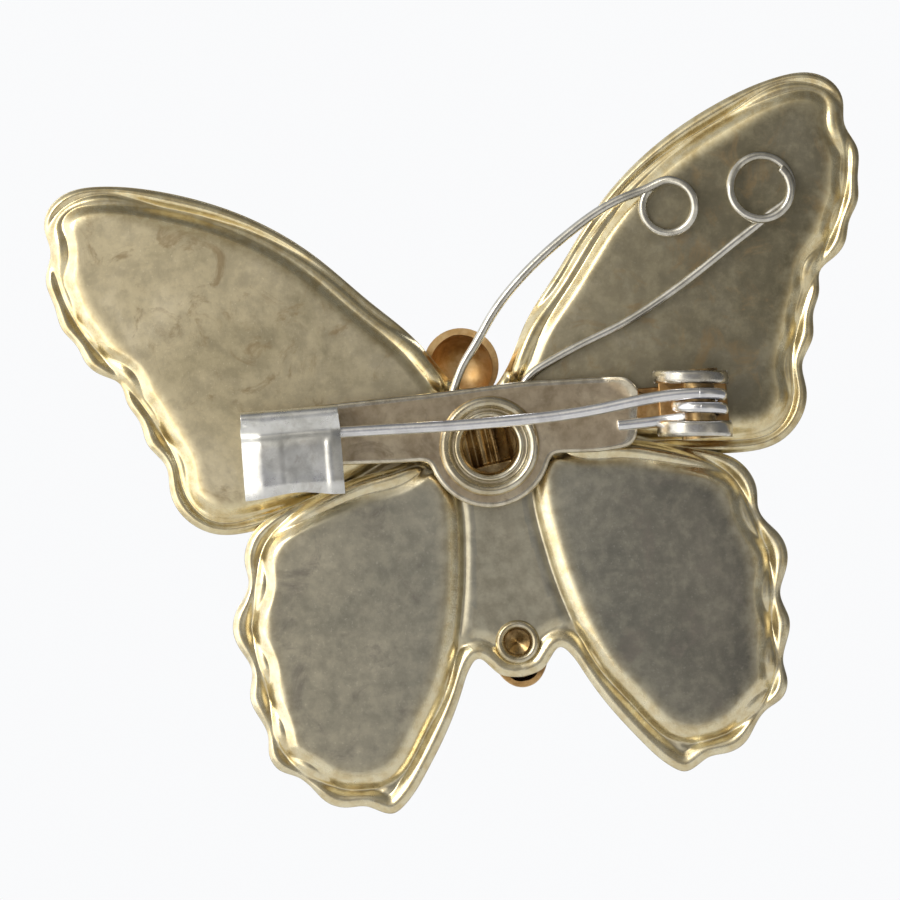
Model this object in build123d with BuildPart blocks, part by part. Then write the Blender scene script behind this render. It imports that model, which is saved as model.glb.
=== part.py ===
from build123d import *
import os
from math import cos, sin, radians, degrees, hypot

os.makedirs("parts", exist_ok=True)

# Butterfly brooch, as worn: +Z up, the front of the butterfly faces -Y, the pin is on the +Y side.
# The origin is on the eyelet's axis, in the back face of the pin bar, where the cloth bears.
# Drawings are made as seen from behind: u runs towards the hinge (-X) and v runs up (+Z).

# ---- driving sizes, mm ----
half_span = 26.3          # eyelet to the outermost scallop of a forewing
drawn_half_span = 26.3    # the half span at which the wing outlines below are drawn
sheet = 0.45              # thickness of both wing stampings
pan_rise = 0.75           # how far each wing's cell is pressed out towards the back
lip_width = 0.55          # width of the lip round each stamping
lip_rise = 0.15           # how far the lip is turned up towards the back
lip_relief = 0.1          # the lip is pressed flat this far round whatever lies on it
pan_chamfer = 0.3         # softened edge of a pressed cell
enamel_gap = 0.03         # clearance round an enamel filling
enamel_recess = 0.15      # enamel lies this far below the metal at the front

bar_thick = 0.6           # pin bar
bar_catch_half = 2.0      # half width of the bar at its catch end
bar_hinge_half = 2.35     # half width of the bar at its hinge end
bar_rise = 1.55           # the bar's centre line lies above the eyelet
bar_shoulder = 9.85       # eyelet to the shoulder at the hinge end
bar_chamfer = 0.8         # cut corners at the shoulder
tongue_half = 1.35        # half width of the tongue under the hinge
boss_radius = 3.95        # round boss of the bar at the eyelet
bar_turn = -3.6           # degrees, the bar against the hindwings

fore_turn = 1.0           # degrees, the forewings against the hindwings
body_turn = 3.4           # degrees, the body against the hindwings, about the tail rivet

pan_to_bar = 0.3          # the hindwing cells clear the bar by this
wire_gap = 0.02           # play on each side of the antenna wire in the stack
antenna_radius = 0.29     # antenna wire
short_curl = 1.68         # radius of the short arm's curl
long_curl = (2.1, 1.7, 1.3)  # radii of the long arm's curl, from its outside inwards

eyelet_radius = 1.95      # outside of the eyelet's barrel
eyelet_bore = 1.7         # inside of the eyelet's barrel
eyelet_flange = 3.2       # rolled flange at the back
flange_height = 0.5       # crest of the rolled flange above the bar
eyelet_fit = 0.02         # play of the barrel in the holes of the stack
clench_radius = 2.2       # barrel turned out over the bridge at the front
clench_thick = 0.3
flange_rim = 0.28         # the rolled flange's crest lies this far inside its edge
flange_valley = 0.45      # height of the valley between its two rolls, as a share of the crest
inner_roll = 0.15         # the inner roll's crest lies this far outside the barrel
inner_roll_height = 0.7   # its height, as a share of the crest
window_half = 1.35        # half width of the square window in the barrel's closed end
window_drop = 1.46        # eyelet's axis down to the window's lower edge
washer_radius = 3.4       # spacing washer between the bar and the hindwings

tail_drop = 12.64         # eyelet down to the tail rivet
tail_barrel = 1.15        # outside of the tail rivet's barrel
tail_bore = 0.95
tail_flare = 1.35
tail_flare_height = 0.3
tail_flare_draw = 0.08    # the flare's rim is drawn in by this

head_radius = 2.42
head_reach = 18.0         # tail rivet up to the centre of the head
tail_tip = 2.95           # tail rivet down to the end of the tail
thorax_radius = 4.0
abdomen_radius = 2.5
waist_radius = 2.3
neck_radius = 1.5
tail_radius = 1.95        # the body's half width at the tail rivet
thorax_below_head = 5.6
waist_below_thorax = 4.4
head_open = 0.35          # the head's open side starts this far inside the forewings' top edge
tip_point = (0.45, 0.9)   # the tail's tip: share of its half width, share of its length
tip_flank = (0.8, 0.6)
shell_thick = 0.4
bridge_thick = 0.4
bridge_half_long = 2.5
bridge_fit = 0.1          # the bridge clears the shell's wall by this
bridge_corner = 0.9       # corner radius as a share of its half length

wire_radius = 0.37        # spring wire of the pin
coil_radius = 1.45        # centre line of the coil
coil_turns = 1.5
coil_play = 0.16          # between the turns of the coil
coil_rise = 1.6           # the coil's middle lies above the eyelet
coil_to_ear = 0.2         # play between the coil and each ear
rivet_fit = 0.07          # running clearance between the hinge rivet and the coil
ear_thick = 0.75
ear_fit = 0.02            # play of the hinge rivet in the ears
ear_half_long = 2.4
ear_over = 1.6            # ear radius round the rivet
base_thick = 0.5          # floor of the hinge bracket
base_play = 0.05          # between the coil and the floor
hinge_reach = 13.5        # eyelet to the coil's axis, along the bar
rivet_head = 1.3          # radius of the hinge rivet's heads
rivet_head_thick = 0.2
flex_gap = 0.15           # parting between the wire's three stretches
tail_end_reach = 8.2      # eyelet to the end of the coil's tail, along the bar
tail_over_bar = 0.02      # the tail's end clears the bar by this
leg_level_run = 0.4       # the coil's tail stays high until this far past the ears
leg_drop = (0.1, 0.2)     # and falls by these along the bar's width, at its bend and at its end
leg_bend = 3.0            # radius of the bend in the coil's tail

catch_sheet = 0.45
catch_inner = 9.3         # eyelet to the near edge of the catch
catch_long = 6.4
catch_top = 3.45          # outside of the hook's back, above the eyelet
catch_drop = 2.1          # the hook's lip, below the eyelet
hook_over_stem = 0.8       # outside of the hook above the stem's top at the catch's near edge
catch_groove = 0.35       # depth of the groove pressed along the hook
lip_flare = 0.45          # how far the lip is turned out
catch_foot = 0.3          # the catch's foot starts this far above the bar's lower edge
groove_above = 0.75       # the groove's upper and lower edges, from the stem
groove_below = 0.7
lip_long = 0.7            # length of the turned out lip
catch_bends = [0.5, 0.6, 0.35, 0.5, 0.35, 0.5]
bar_past_catch = 0.3      # the bar stops this far inside the catch's outer edge
stem_in_catch = 1.75      # height of the stem's centre in the catch
stem_rise = 1.6           # the straight stem lies above the eyelet by this
stem_straight = 5.0       # the straight of the stem starts here, on the hinge side
stem_lead = 4.5           # first, nearly level run of the stem
stem_lead_drop = 0.12
stem_bend = 12.0          # radius of the stem's two gentle bends
stem_point = 3.2          # length of the tapered point
stem_end_clear = 0.9      # the point stops this far inside the catch's outer edge
point_radius = 0.08

outline_scale = half_span / drawn_half_span

# ---- levels, measured from the bar's back face; more negative is nearer the front ----
bar_front = -bar_thick
wire_level = bar_front - wire_gap - antenna_radius
washer_back = wire_level - antenna_radius - wire_gap
hind_back = bar_front - pan_to_bar - pan_rise
hind_front = hind_back - sheet
fore_back = hind_front
fore_front = fore_back - sheet
bridge_front = fore_front - bridge_thick
coil_level = base_thick + base_play + wire_radius + coil_radius
coil_pitch = 2 * wire_radius + coil_play
coil_half = (coil_turns * coil_pitch) / 2 + wire_radius
stem_turn_rise = coil_rise + coil_half - wire_radius
tail_turn_rise = coil_rise - coil_half + wire_radius
ear_inner = coil_half + coil_to_ear
ear_outer = ear_inner + ear_thick


def back_plane(level, turn=0.0, v=0.0):
    """A plane that faces the back at this level, turned anticlockwise as seen from behind."""
    a = radians(turn)
    return Plane(origin=(0, level, v), x_dir=(-cos(a), 0, sin(a)), z_dir=(0, 1, 0))


def bar_point(u, v, level):
    """A point of the pin bar's own drawing, in the part's frame."""
    return back_plane(level, bar_turn).from_local_coords(Vector(u, v, 0))


def bar_side_plane(v):
    """A plane square to the coil's axis: local x runs along the bar, local y to the back, normal down."""
    a = radians(bar_turn)
    return Plane(origin=bar_point(0, v, 0), x_dir=(-cos(a), 0, sin(a)), z_dir=(-sin(a), 0, -cos(a)))


def bar_end_plane(u):
    """A plane square to the bar: local x runs up, local y to the back, normal towards the hinge."""
    a = radians(bar_turn)
    return Plane(origin=bar_point(u, 0, 0), x_dir=(sin(a), 0, cos(a)), z_dir=(-cos(a), 0, sin(a)))


def scaled(points):
    return [(outline_scale * u, outline_scale * v) for u, v in points]


def inset(loop, distance):
    """A clockwise loop with each point moved inwards, square to the line through its neighbours."""
    moved = []
    for i, (u, v) in enumerate(loop):
        (u0, v0), (u1, v1) = loop[i - 1], loop[(i + 1) % len(loop)]
        length = hypot(u1 - u0, v1 - v0)
        moved.append((u + distance * (v1 - v0) / length, v - distance * (u1 - u0) / length))
    return moved


def wing_runs(outline, distance=0.0):
    """A wing plate's edge, moved inwards: two mirrored runs from the top centre to the bottom centre."""
    half = scaled(outline)
    loop = half + [(-u, v) for u, v in reversed(half[1:-1])]
    half = inset(loop, distance)[: len(half)]
    return half, [(-u, v) for u, v in half]


def cell_runs(cell, side, distance=0.0):
    """A cell's edge, moved inwards, on the hinge side (1) or catch side (-1), as two runs that meet."""
    loop = [(side * u, v) for u, v in inset(scaled(cell), distance)]
    middle = len(loop) // 2
    return loop[: middle + 1], loop[middle:] + loop[:1]


# ---- wing outlines: crests and troughs of the scalloped edges, and the pressed cells ----
fore_outline = [
    (0, 2.9), (1.7, 4.5), (3.4, 7.2), (6.0, 10.25), (9.0, 13.7), (13.0, 16.95), (18.0, 19.35),
    (22.0, 20.35), (24.3, 20.2), (25.55, 19.2), (25.85, 18.1), (25.7, 16.75), (26.28, 15.0),
    (26.0, 13.2), (25.75, 11.7), (25.0, 10.5), (24.6, 9.35), (23.7, 8.4), (22.65, 7.65),
    (22.4, 6.4), (21.8, 5.05), (21.55, 3.6), (20.6, 2.0), (20.6, 0.4), (19.9, -1.5),
    (18.2, -2.75), (15.6, -2.95), (11.5, -2.6), (7.5, -3.3), (4.0, -4.5), (0, -5.0),
]
fore_cell = [
    (3.2, 4.3), (5.9, 7.7), (8.6, 10.7), (12.4, 14.2), (16.0, 16.2), (19.5, 17.65), (22.9, 18.6),
    (24.2, 18.0), (24.45, 16.0), (24.1, 13.6), (23.1, 11.2), (21.7, 9.0), (20.2, 6.3), (19.2, 4.0),
    (18.65, 2.0), (18.45, 0.2), (17.7, -0.8), (16.0, -0.95), (12.5, -0.4), (9.0, 0.6), (5.6, 2.0),
    (3.6, 3.3),
]
hind_outline = [
    (0, 3.3), (2.3, 2.9), (3.9, 1.2), (5.8, -0.35), (8.1, -0.72), (10.6, -1.28), (13.3, -2.1),
    (15.5, -3.1), (16.3, -4.2), (16.52, -5.3), (16.45, -6.4), (16.85, -7.3), (17.5, -8.15),
    (17.88, -9.4), (17.55, -10.7), (17.05, -12.0), (17.4, -13.7), (17.05, -15.0), (16.62, -16.3),
    (16.72, -17.5), (16.2, -18.6), (15.2, -19.15), (14.4, -19.9), (13.5, -21.05), (12.2, -21.57),
    (11.1, -21.65), (10.3, -22.05), (9.4, -22.35), (8.7, -22.0), (6.9, -20.0), (5.0, -17.2),
    (3.9, -15.1), (3.2, -13.8), (2.65, -13.35), (2.1, -13.75), (1.45, -14.5), (0, -14.9),
]
hind_cell = [
    (3.9, -2.0), (5.0, -1.55), (6.8, -1.65), (9.9, -2.5), (13.0, -3.9), (14.2, -5.0), (14.7, -6.5),
    (15.2, -8.4), (15.45, -10.4), (15.2, -12.3), (15.0, -14.3), (14.75, -16.9), (13.8, -18.1),
    (12.4, -19.0), (10.8, -19.4), (9.5, -19.1), (7.8, -17.1), (6.1, -14.7), (5.0, -12.0),
    (4.15, -8.7), (3.7, -5.8), (3.55, -3.2),
]
tail_v = -tail_drop * outline_scale


def wing_plate(outline, cell, back, turn):
    """One stamping: a flat sheet, a turned lip round its edge and a pressed cell in each wing."""
    shoulder = back + pan_rise - pan_chamfer
    with BuildPart() as plate:
        with BuildSketch(back_plane(back - sheet, turn)):
            with BuildLine():
                for run in wing_runs(outline):
                    Spline(*run)
            make_face()
        extrude(amount=sheet)
        for distance, how in ((0, Mode.ADD), (lip_width, Mode.SUBTRACT)):
            with BuildSketch(back_plane(back, turn)):
                with BuildLine():
                    for run in wing_runs(outline, distance):
                        Spline(*run)
                make_face()
            extrude(amount=lip_rise, mode=how)
        for side in (1, -1):
            with BuildSketch(back_plane(back, turn)):
                with BuildLine():
                    for run in cell_runs(cell, side):
                        Spline(*run)
                make_face()
            extrude(amount=pan_rise - pan_chamfer)
            for level, distance in ((shoulder, 0), (back + pan_rise, pan_chamfer)):
                with BuildSketch(back_plane(level, turn)):
                    with BuildLine():
                        for run in cell_runs(cell, side, distance):
                            Spline(*run)
                    make_face()
            loft()
            with BuildSketch(back_plane(back - sheet, turn)):
                with BuildLine():
                    for run in cell_runs(cell, side, sheet):
                        Spline(*run)
                make_face()
            extrude(amount=pan_rise, mode=Mode.SUBTRACT)
        with BuildSketch(back_plane(back - sheet, turn)):
            Circle(eyelet_radius + eyelet_fit)
        extrude(amount=sheet, mode=Mode.SUBTRACT)
    return plate.part


# ---- forewing plate: the front one of the two stampings ----
with BuildPart() as forewing_plate:
    add(wing_plate(fore_outline, fore_cell, fore_back, fore_turn))
    with BuildSketch(back_plane(fore_back)):
        with BuildLine():
            for run in wing_runs(hind_outline, -lip_relief):
                Spline(*run)
        make_face()
    extrude(amount=lip_rise, mode=Mode.SUBTRACT)
forewing_plate.part.label = "forewing_plate"
export_step(forewing_plate.part, "parts/forewing_plate.step")

# ---- hindwing plate: lies behind the forewing plate and carries the tail rivet ----
with BuildPart() as hindwing_plate:
    add(wing_plate(hind_outline, hind_cell, hind_back, 0))
    with BuildSketch(back_plane(hind_front)):
        with Locations((0, tail_v)):
            Circle(tail_barrel + eyelet_fit)
    extrude(amount=sheet, mode=Mode.SUBTRACT)
    with BuildSketch(back_plane(hind_back)):
        Circle(washer_radius + lip_relief)
    extrude(amount=lip_rise, mode=Mode.SUBTRACT)
hindwing_plate.part.label = "hindwing_plate"
export_step(hindwing_plate.part, "parts/hindwing_plate.step")

# ---- four enamel fillings, one in the front of each cell ----
for wing, cell, back, turn in (
    ("forewing", fore_cell, fore_back, fore_turn),
    ("hindwing", hind_cell, hind_back, 0),
):
    for side_name, side in (("hinge_side", 1), ("catch_side", -1)):
        with BuildPart() as enamel:
            with BuildSketch(back_plane(back - sheet + enamel_recess, turn)):
                with BuildLine():
                    for run in cell_runs(cell, side, sheet + enamel_gap):
                        Spline(*run)
                make_face()
            extrude(amount=pan_rise - enamel_recess)
        enamel.part.label = f"{wing}_enamel_{side_name}"
        export_step(enamel.part, f"parts/{wing}_enamel_{side_name}.step")

# ---- body shell: head, thorax and abdomen in one hollow half-round stamping, open at the back ----
body_back = back_plane(fore_front, body_turn, tail_v)
body_reach = head_reach + tail_drop * (outline_scale - 1)
thorax_v = body_reach - thorax_below_head
waist_v = thorax_v - waist_below_thorax
abdomen_v = waist_v / 2
rim_v = body_reach - (head_radius**2 - neck_radius**2) ** 0.5
fore_rim_v = -tail_v + fore_outline[-1][1] * outline_scale - head_open
body_axis = Axis(body_back.origin, body_back.y_dir)
room = 3 * (head_radius + thorax_radius)

with BuildPart() as body_shell:
    for wall, how in ((0, Mode.ADD), (shell_thick, Mode.SUBTRACT)):
        head_top = body_reach + head_radius - wall
        with BuildSketch(body_back):
            with BuildLine():
                Spline(
                    (0, wall - tail_tip),
                    (tip_point[0] * tail_radius, tip_point[1] * (wall - tail_tip)),
                    (tip_flank[0] * (tail_radius - wall), tip_flank[1] * (wall - tail_tip)),
                    (tail_radius - wall, 0),
                    (abdomen_radius - wall, abdomen_v), (waist_radius - wall, waist_v),
                    (thorax_radius - wall, thorax_v), (neck_radius - wall, rim_v),
                )
                ThreePointArc(
                    (neck_radius - wall, rim_v), (head_radius - wall, body_reach), (0, head_top)
                )
                Line((0, head_top), (0, wall - tail_tip))
            make_face()
        revolve(axis=body_axis, mode=how)
    with BuildSketch(body_back):
        with Locations((0, fore_rim_v)):
            Rectangle(room, 2 * body_reach, align=(Align.CENTER, Align.MIN))
    extrude(amount=room, mode=Mode.SUBTRACT)
    with BuildSketch(back_plane(hind_front, body_turn, tail_v)):
        Rectangle(room, 4 * body_reach)
    extrude(amount=room, mode=Mode.SUBTRACT)
body_shell.part.label = "body_shell"
export_step(body_shell.part, "parts/body_shell.step")

# ---- body bridge: the strap inside the thorax that the eyelet is clenched over ----
bridge_half_wide = ((thorax_radius - shell_thick) ** 2 - bridge_thick**2) ** 0.5 - bridge_fit
bridge_back = back_plane(bridge_front, body_turn, tail_v)
eyelet_in_body = bridge_back.to_local_coords(Vector(0, bridge_front, 0))
with BuildPart() as body_bridge:
    with BuildSketch(bridge_back):
        with Locations((0, eyelet_in_body.Y)):
            RectangleRounded(
                2 * bridge_half_wide, 2 * bridge_half_long, bridge_corner * bridge_half_long
            )
        with Locations((eyelet_in_body.X, eyelet_in_body.Y)):
            Circle(eyelet_radius + eyelet_fit, mode=Mode.SUBTRACT)
    extrude(amount=bridge_thick)
body_bridge.part.label = "body_bridge"
export_step(body_bridge.part, "parts/body_bridge.step")

# ---- tail rivet: a tube flared over the hindwing plate and let into the body shell ----
tail_end = fore_front - (tail_radius - shell_thick - tail_barrel) - tail_flare_height
with BuildPart() as tail_rivet:
    with BuildSketch(Plane(origin=(0, 0, tail_v), x_dir=(-1, 0, 0), z_dir=(0, 0, -1))):
        Polygon(
            (tail_bore, tail_end), (tail_barrel, tail_end), (tail_barrel, hind_back),
            (tail_flare, hind_back), (tail_flare, hind_back + tail_flare_height / 2),
            (tail_flare - tail_flare_draw, hind_back + tail_flare_height), (tail_bore, hind_back),
            align=None,
        )
    revolve(axis=Axis((0, 0, tail_v), (0, 1, 0)))
tail_rivet.part.label = "tail_rivet"
export_step(tail_rivet.part, "parts/tail_rivet.step")

# ---- pin bar: a flat strip with a round boss at the eyelet and a tongue under the hinge ----
bar_end = catch_inner + catch_long - bar_past_catch
tongue_end = hinge_reach + ear_half_long
with BuildPart() as pin_bar:
    with BuildSketch(back_plane(bar_front, bar_turn)):
        Polygon(
            (-bar_end, bar_rise - bar_catch_half),
            (-catch_inner, bar_rise - bar_catch_half),
            (bar_shoulder - bar_chamfer, bar_rise - bar_hinge_half),
            (bar_shoulder, bar_rise - bar_hinge_half + bar_chamfer),
            (bar_shoulder, coil_rise - tongue_half),
            (tongue_end, coil_rise - tongue_half),
            (tongue_end, coil_rise + tongue_half),
            (bar_shoulder, coil_rise + tongue_half),
            (bar_shoulder, bar_rise + bar_hinge_half - bar_chamfer),
            (bar_shoulder - bar_chamfer, bar_rise + bar_hinge_half),
            (-catch_inner, bar_rise + bar_catch_half),
            (-bar_end, bar_rise + bar_catch_half),
            align=None,
        )
        Circle(boss_radius)
        Circle(eyelet_radius + eyelet_fit, mode=Mode.SUBTRACT)
    extrude(amount=bar_thick)
pin_bar.part.label = "pin_bar"
export_step(pin_bar.part, "parts/pin_bar.step")

# ---- spacing washer: fills the stack between the antenna wire and the hindwing plate ----
with BuildPart() as spacing_washer:
    with BuildSketch(back_plane(hind_back)):
        Circle(washer_radius)
        Circle(eyelet_radius + eyelet_fit, mode=Mode.SUBTRACT)
    extrude(amount=washer_back - hind_back)
spacing_washer.part.label = "spacing_washer"
export_step(spacing_washer.part, "parts/spacing_washer.step")

# ---- eyelet: rolled flange at the back, barrel through the stack, closed end with a window ----
eyelet_end = bridge_front - clench_thick
flange_mid = (eyelet_bore + eyelet_flange) / 2
with BuildPart() as eyelet:
    with BuildSketch(Plane(origin=(0, 0, 0), x_dir=(-1, 0, 0), z_dir=(0, 0, -1))):
        with BuildLine():
            Line((eyelet_radius, 0), (eyelet_flange, 0))
            Spline(
                (eyelet_flange, 0),
                (eyelet_flange - flange_rim, flange_height),
                (flange_mid, flange_valley * flange_height),
                (eyelet_radius + inner_roll, inner_roll_height * flange_height),
                (eyelet_bore, 0),
                tangents=[(0, 1), (0, -1)],
            )
            Polyline(
                (eyelet_bore, 0), (eyelet_bore, bridge_front), (0, bridge_front), (0, eyelet_end),
                (clench_radius, eyelet_end), (clench_radius, bridge_front),
                (eyelet_radius, bridge_front), (eyelet_radius, 0),
            )
        make_face()
    revolve(axis=Axis((0, 0, 0), (0, 1, 0)))
    with BuildSketch(back_plane(eyelet_end, body_turn)):
        Rectangle(2 * window_half, 2 * window_drop)
    extrude(amount=clench_thick, mode=Mode.SUBTRACT)
eyelet.part.label = "eyelet"
export_step(eyelet.part, "parts/eyelet.step")

# ---- antenna wire: one hairpin bent round the eyelet, both arms swept over one forewing ----
antenna_plane = back_plane(wire_level)
with BuildLine() as antenna_line:
    hairpin = FilletPolyline(
        (13.2, 15.1), (9.6, 14.15), (4.9, 11.5), (1.2, 8.0), (-1.53, 4.28), (-2.9, -2.6),
        (2.35, -2.6), (2.55, 3.3), (6.6, 5.45), (12.1, 7.65), (17.7, 10.84), (20.2, 11.75),
        radius=[9.0, 14.0, 14.0, 7.0, 2.1, 2.1, 2.4, 14.0, 20.0, 9.0],
    )
    JernArc(hairpin @ 0, (hairpin % 0) * -1, short_curl, -270)
    curl_wide = JernArc(hairpin @ 1, hairpin % 1, long_curl[0], 190)
    curl_middle = JernArc(curl_wide @ 1, curl_wide % 1, long_curl[1], 150)
    JernArc(curl_middle @ 1, curl_middle % 1, long_curl[2], 120)
antenna_path = antenna_plane * Wire(antenna_line.edges())
with BuildPart() as antenna_wire:
    with BuildSketch(Plane(origin=antenna_path @ 0, z_dir=antenna_path % 0)):
        Circle(antenna_radius)
    sweep(path=antenna_path)
antenna_wire.part.label = "antenna_wire"
export_step(antenna_wire.part, "parts/antenna_wire.step")

# ---- hinge bracket: a floor on the tongue and two ears that hold the rivet ----
with BuildPart() as hinge_bracket:
    with BuildSketch(back_plane(0, bar_turn)):
        with Locations((hinge_reach, coil_rise)):
            Rectangle(2 * ear_half_long, 2 * ear_outer)
    extrude(amount=base_thick)
    for low in (coil_rise - ear_outer, coil_rise + ear_inner):
        with BuildSketch(bar_side_plane(low)):
            with Locations((hinge_reach, coil_level)):
                Circle(ear_over)
            with Locations((hinge_reach, coil_level / 2)):
                Rectangle(2 * ear_over, coil_level)
            with Locations((hinge_reach, base_thick)):
                Rectangle(2 * ear_half_long, 2 * base_thick)
            with Locations((hinge_reach, -coil_level)):
                Rectangle(room, 2 * coil_level, mode=Mode.SUBTRACT)
            with Locations((hinge_reach, coil_level)):
                Circle(coil_radius - wire_radius - rivet_fit + ear_fit, mode=Mode.SUBTRACT)
        extrude(amount=-ear_thick)
hinge_bracket.part.label = "hinge_bracket"
export_step(hinge_bracket.part, "parts/hinge_bracket.step")

# ---- hinge rivet: fixed in the ears, with a head outside each ----
with BuildPart() as hinge_rivet:
    with BuildSketch(bar_side_plane(coil_rise - ear_outer)):
        with Locations((hinge_reach, coil_level)):
            Circle(coil_radius - wire_radius - rivet_fit)
    extrude(amount=-2 * ear_outer)
    for low in (coil_rise - ear_outer - rivet_head_thick, coil_rise + ear_outer):
        with BuildSketch(bar_side_plane(low)):
            with Locations((hinge_reach, coil_level)):
                Circle(rivet_head)
        extrude(amount=-rivet_head_thick)
hinge_rivet.part.label = "hinge_rivet"
export_step(hinge_rivet.part, "parts/hinge_rivet.step")

# ---- the pin's spring wire, in three stretches: tail and half turn, full turn, stem ----
parting = degrees(flex_gap / coil_radius)


def coil_wire(first, last):
    """A stretch of the coil's centre line, from one angle to another, measured from the stem's end."""
    down = bar_side_plane(stem_turn_rise - coil_pitch * first / 360)
    a = radians(first)
    frame = Plane(
        origin=down.from_local_coords(Vector(hinge_reach, coil_level, 0)),
        x_dir=down.x_dir * sin(a) + down.y_dir * cos(a),
        z_dir=down.z_dir,
    )
    turns = (last - first) / 360
    return frame * Helix(coil_pitch, coil_pitch * turns, coil_radius, lefthand=True)


whole_turn = coil_wire(0, 360 - parting)
with BuildPart() as pin_coil:
    with BuildSketch(Plane(origin=whole_turn @ 0, z_dir=whole_turn % 0)):
        Circle(wire_radius)
    sweep(path=whole_turn, is_frenet=True)
pin_coil.part.label = "pin_coil"
export_step(pin_coil.part, "parts/pin_coil.step")

half_turn = coil_wire(360, 360 * coil_turns)
leg_start = half_turn @ 1
leg_level = coil_level - coil_radius
with BuildPart() as spring_leg:
    with BuildSketch(Plane(origin=half_turn @ 0, z_dir=half_turn % 0)):
        Circle(wire_radius)
    sweep(path=half_turn, is_frenet=True)
    with BuildLine() as leg:
        FilletPolyline(
            leg_start,
            bar_point(hinge_reach - ear_half_long - leg_level_run, tail_turn_rise - leg_drop[0], leg_level),
            bar_point(tail_end_reach, tail_turn_rise - leg_drop[1], wire_radius + tail_over_bar),
            radius=leg_bend,
        )
    with BuildSketch(Plane(origin=leg_start, z_dir=leg.wire() % 0)):
        Circle(wire_radius)
    sweep(path=leg.wire())
spring_leg.part.label = "spring_leg"
export_step(spring_leg.part, "parts/spring_leg.step")

stem_end_reach = catch_inner + catch_long - stem_end_clear
stem_level = coil_level + coil_radius
stem_slope = (stem_level - stem_in_catch) / (hinge_reach + catch_inner + catch_long / 2)


def stem_point_at(u, v):
    """A point of the stem: its level falls evenly from the coil to the catch."""
    return bar_point(u, v, stem_level - stem_slope * (hinge_reach - u))


with BuildPart() as pin_stem:
    with BuildLine() as stem:
        FilletPolyline(
            stem_point_at(hinge_reach - flex_gap, stem_turn_rise),
            stem_point_at(hinge_reach - stem_lead, stem_turn_rise - stem_lead_drop),
            stem_point_at(stem_straight, stem_rise),
            stem_point_at(stem_point - stem_end_reach, stem_rise),
            radius=[stem_bend, stem_bend],
        )
    with BuildSketch(Plane(origin=stem.wire() @ 0, z_dir=stem.wire() % 0)):
        Circle(wire_radius)
    sweep(path=stem.wire())
    with Locations(Plane(origin=stem.wire() @ 1, z_dir=stem.wire() % 1)):
        Cone(wire_radius, point_radius, stem_point, align=(Align.CENTER, Align.CENTER, Align.MIN))
pin_stem.part.label = "pin_stem"
export_step(pin_stem.part, "parts/pin_stem.step")

# ---- catch: one folded sheet, fixed to the bar and hooked over the stem, its mouth downwards ----
half_sheet = catch_sheet / 2
stem_at_catch = stem_level - stem_slope * (hinge_reach + catch_inner)
hook_level = stem_at_catch + wire_radius + hook_over_stem - half_sheet
hook_back = catch_top - half_sheet
with BuildPart() as catch:
    with BuildSketch(bar_end_plane(-catch_inner)):
        with BuildLine():
            FilletPolyline(
                (bar_rise - bar_catch_half + catch_foot, half_sheet),
                (hook_back, half_sheet),
                (hook_back, hook_level),
                (stem_rise + groove_above, hook_level),
                (stem_rise, hook_level - catch_groove),
                (stem_rise - groove_below, hook_level),
                (lip_long - catch_drop, hook_level),
                (-catch_drop, hook_level + lip_flare),
                radius=catch_bends,
            )
        trace(line_width=catch_sheet)
    extrude(amount=-catch_long)
catch.part.label = "catch"
export_step(catch.part, "parts/catch.step")
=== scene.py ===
# %% [markdown]
# # A butterfly brooch, seen from its back
#
# The brooch is a sandwich. Two pressed brass wings, an antenna wire and a bar
# are held together by one eyelet, and a spring pin lies over them. This file
# makes the visible surfaces and their finishes. Every shape is a grid of points
# worked out with numpy, so its formula can be read and changed.

import math

import bmesh
import bpy
import numpy as np
from mathutils import Matrix


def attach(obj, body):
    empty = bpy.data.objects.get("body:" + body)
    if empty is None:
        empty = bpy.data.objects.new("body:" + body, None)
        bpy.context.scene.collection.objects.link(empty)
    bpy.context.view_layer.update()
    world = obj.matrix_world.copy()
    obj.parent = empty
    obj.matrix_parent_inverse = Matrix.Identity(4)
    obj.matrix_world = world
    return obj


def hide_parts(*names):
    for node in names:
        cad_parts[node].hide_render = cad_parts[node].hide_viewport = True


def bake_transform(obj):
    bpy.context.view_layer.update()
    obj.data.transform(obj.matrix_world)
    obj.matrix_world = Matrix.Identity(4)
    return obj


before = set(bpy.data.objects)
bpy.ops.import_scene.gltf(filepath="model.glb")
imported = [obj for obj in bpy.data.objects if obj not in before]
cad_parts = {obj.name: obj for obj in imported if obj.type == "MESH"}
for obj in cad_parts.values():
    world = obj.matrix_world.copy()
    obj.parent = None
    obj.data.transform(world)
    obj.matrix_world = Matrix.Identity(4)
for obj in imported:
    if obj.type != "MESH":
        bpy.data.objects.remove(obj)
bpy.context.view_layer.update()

# %% [markdown]
# ## How places are written
#
# The drawings are made as a goldsmith would see them from behind: u runs to the
# hinge, v runs up and level rises out of the back, all in millimetres. Some
# layers were riveted a little askew, so each has a turn about the eyelet.

# %% Drawing place to model place
MM = 0.001
wing_turn = {"forewing": 1.0, "hindwing": 0.0}
bar_turn = -3.6


def place(u, v, level, turn=0.0):
    """X is -u cos t + v sin t, Y is the level and Z is u sin t + v cos t."""
    c, s = math.cos(math.radians(turn)), math.sin(math.radians(turn))
    u, v, level = np.broadcast_arrays(u, v, level)
    return np.stack([-u * c + v * s, level, u * s + v * c], axis=-1) * MM


# %% [markdown]
# ## Smooth lines
#
# A draughtsman bends a thin lath through a few pins. The same curve is the
# natural cubic spline: each stretch is a cubic, the bending is continuous, and
# it is nil at both ends. A small linear system gives the bending at the pins.


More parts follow.
